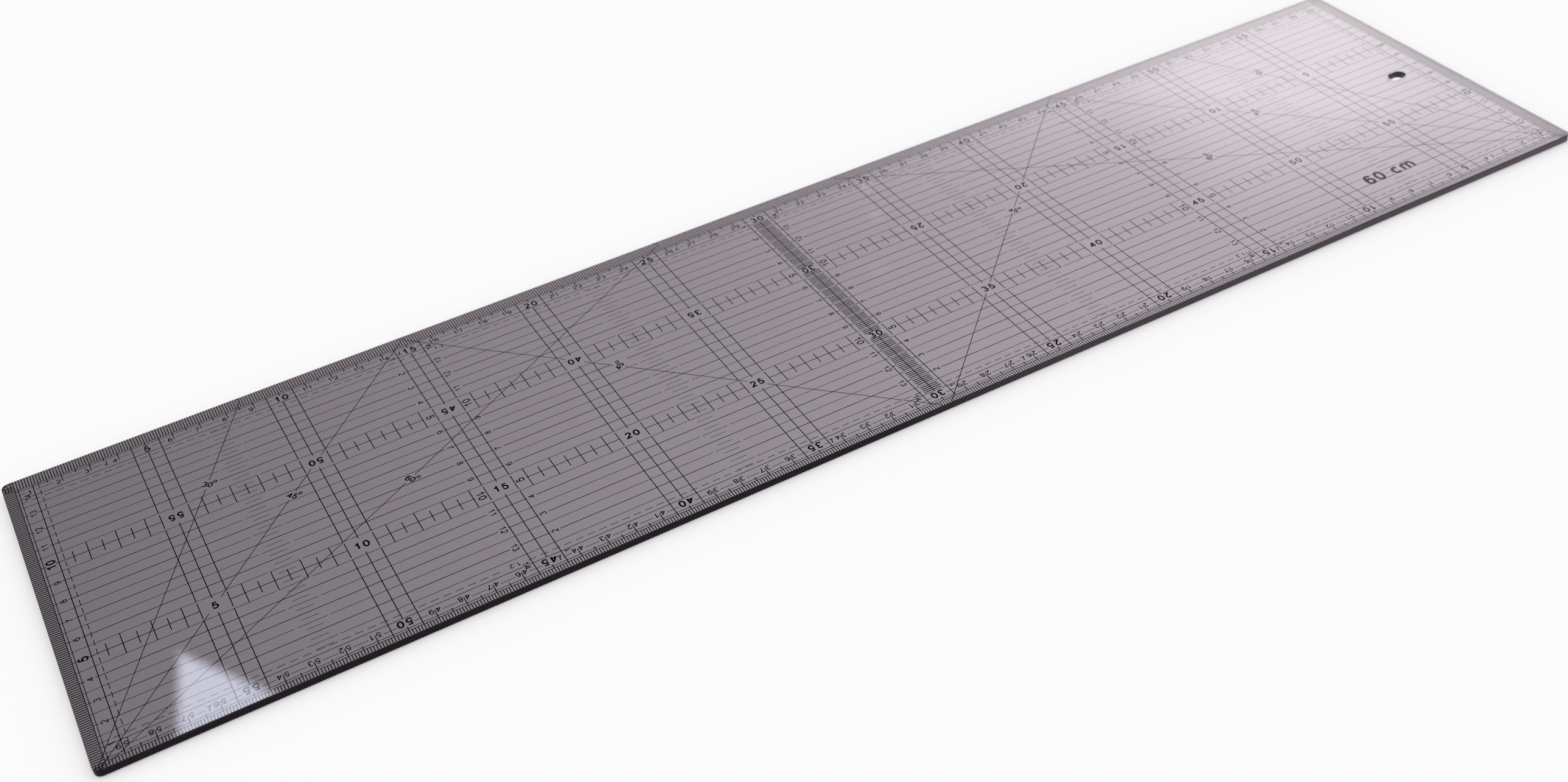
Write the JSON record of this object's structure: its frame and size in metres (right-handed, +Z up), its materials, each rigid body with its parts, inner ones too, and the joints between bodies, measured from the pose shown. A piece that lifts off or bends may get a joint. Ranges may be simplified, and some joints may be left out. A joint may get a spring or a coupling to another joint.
{
  "type": "quilting ruler",
  "caption": "Long clear acrylic ruler for patchwork cutting, with a hang slot and a black centimetre grid, edge scales and angle lines printed on its underside.",
  "frame": {"origin": "middle of the plate's length and width, at the bottom of the print on its underside", "axes": "+X along the length towards the hang slot, +Y across the width towards the edge where the angle lines fan out, +Z up through the plate towards the face that is read"},
  "size_m": [0.6, 0.15, 0.0031],
  "materials": {
    "acrylic": "clear polished acrylic with a faint smoky mauve tint",
    "black_print": "black screen-printed ink"
  },
  "bodies": {
    "root": {"acrylic_plate": "acrylic", "front_edge_scale": "black_print", "back_edge_scale": "black_print", "left_end_scale": "black_print", "right_end_scale": "black_print", "centre_scale": "black_print", "left_grid": "black_print", "right_grid": "black_print", "angle_line_30_left": "black_print", "angle_line_45_left": "black_print", "angle_lines_60_and_middle_45_left": "black_print", "angle_line_30_right": "black_print", "angle_line_45_right": "black_print", "angle_lines_60_and_middle_45_right": "black_print"}
  },
  "joints": []
}
